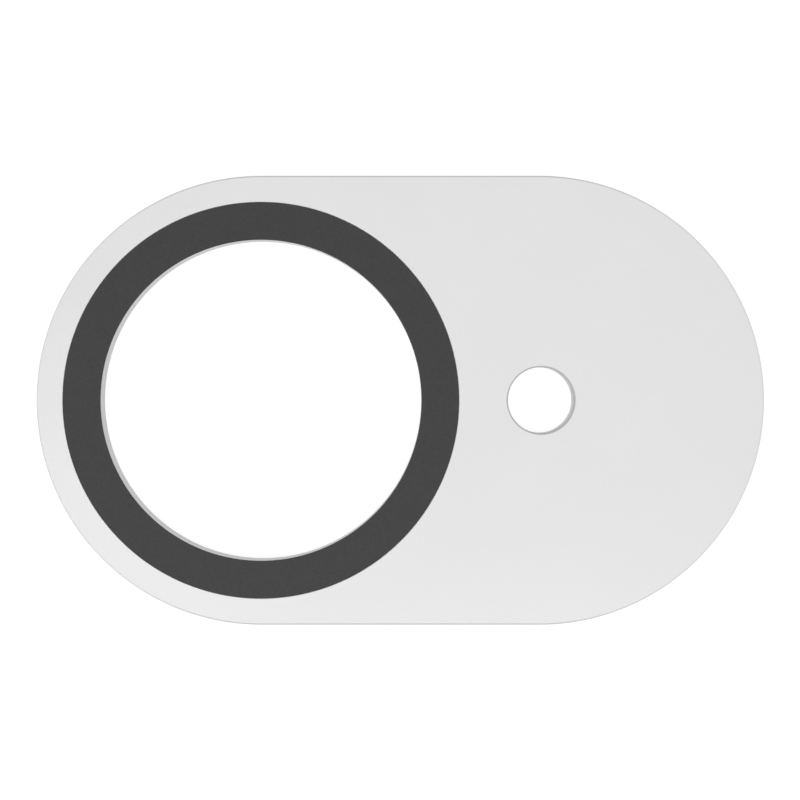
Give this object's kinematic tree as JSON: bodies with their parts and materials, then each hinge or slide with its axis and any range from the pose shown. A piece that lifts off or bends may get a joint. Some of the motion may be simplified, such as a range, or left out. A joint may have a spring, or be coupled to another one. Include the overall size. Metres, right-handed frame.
{
  "type": "webcam cover",
  "caption": "Thin flat cover plate with round ends, a large round lens opening framed by a flush dark ring, and a small round light hole beside it.",
  "frame": {"origin": "axis of the lens opening, at the plate's back face", "axes": "+X along the plate towards the small hole, +Y across it, +Z out of the front face along the lens opening's axis"},
  "size_m": [0.0551, 0.034, 0.0015],
  "materials": {
    "plate": "smooth satin moulded plastic, pale grey-white",
    "ring": "matt dark grey film"
  },
  "bodies": {
    "root": {"cover_plate": "plate", "lens_ring": "ring"}
  },
  "joints": []
}
